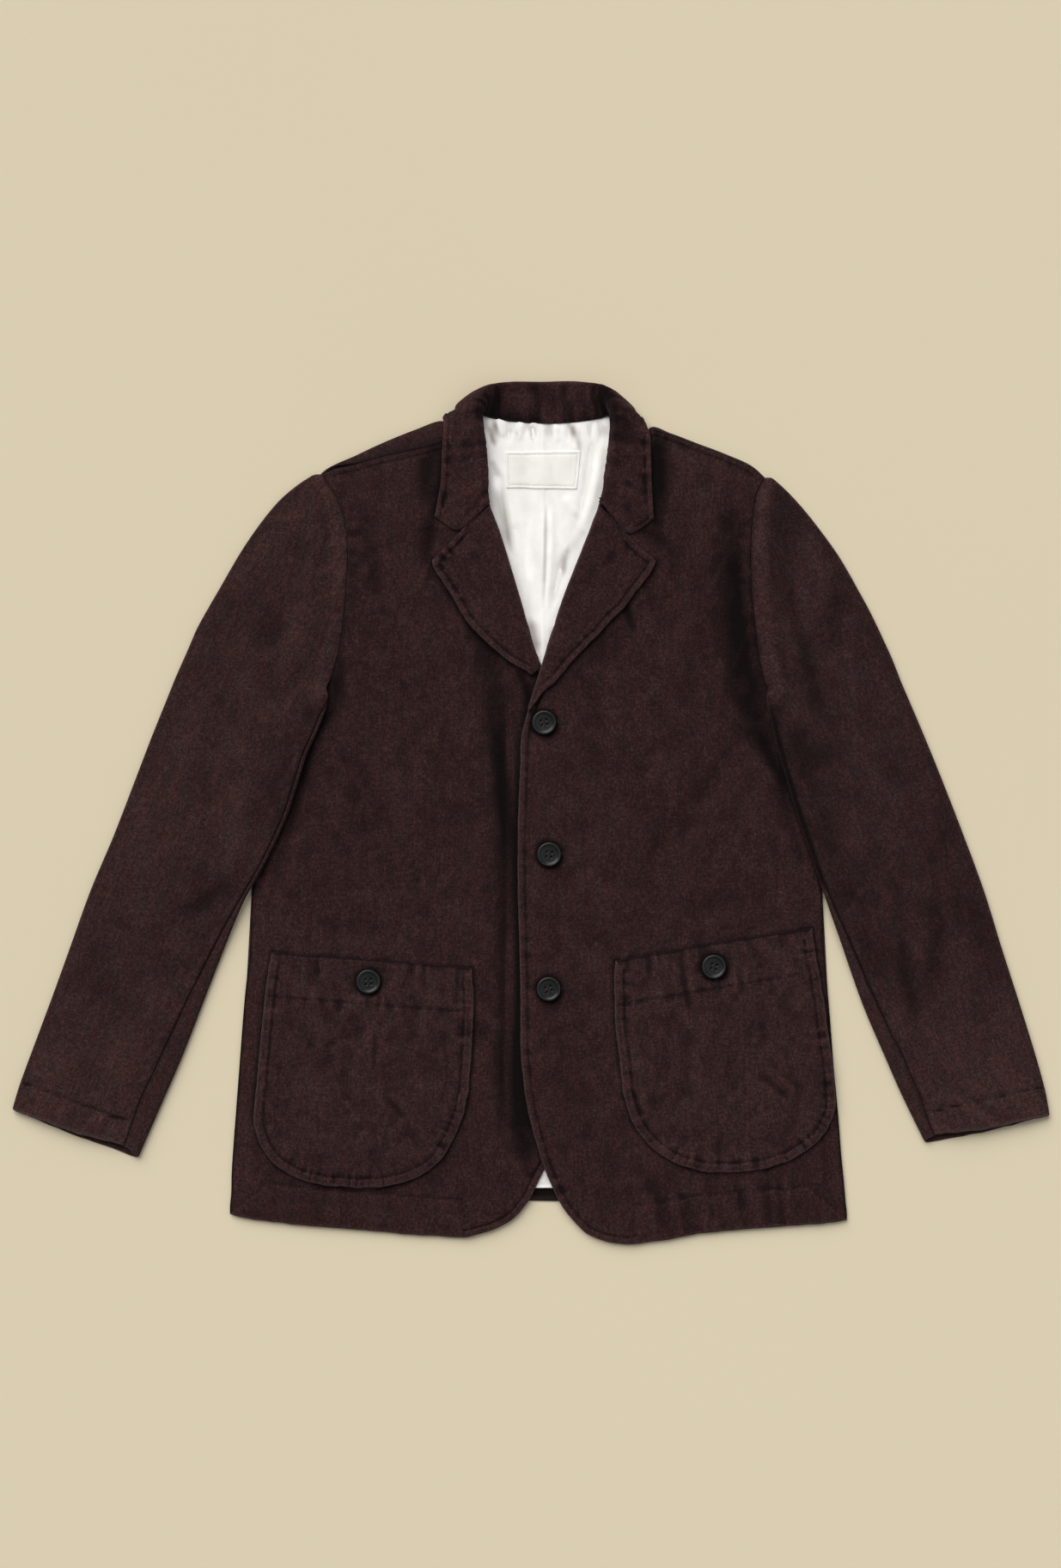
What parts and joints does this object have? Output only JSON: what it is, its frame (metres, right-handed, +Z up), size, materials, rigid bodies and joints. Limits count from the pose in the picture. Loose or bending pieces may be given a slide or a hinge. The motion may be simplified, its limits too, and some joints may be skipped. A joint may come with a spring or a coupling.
{
  "type": "work jacket",
  "caption": "Single-breasted work jacket with notched lapels, front buttons and round buttoned patch pockets, laid flat on its back with the sleeves spread.",
  "frame": {"origin": "centre of the laid-out jacket's outline, on the surface it lies on", "axes": "+X towards the jacket's left side, +Y from hem to neck, +Z up out of the front"},
  "size_m": [0.941, 0.7834, 0.022],
  "materials": {
    "cloth": "washed aubergine-brown linen and cotton, slubby plain weave, matt",
    "lining": "off-white cotton, soft and matt",
    "label": "off-white cotton tape, blank, stitched round its border",
    "button": "dark grey-black, polished, with a raised rim"
  },
  "bodies": {
    "root": {"back": "cloth", "back_lining": "lining", "neck_label": "label", "front_right": "cloth", "front_left": "cloth", "sleeve_right_upper": "cloth", "sleeve_right_under": "cloth", "sleeve_left_upper": "cloth", "sleeve_left_under": "cloth", "lapel_right": "cloth", "lapel_left": "cloth", "collar": "cloth", "pocket_right": "cloth", "pocket_left": "cloth", "button_front_1": "button", "button_front_2": "button", "button_front_3": "button", "button_pocket_right": "button", "button_pocket_left": "button"}
  },
  "joints": []
}
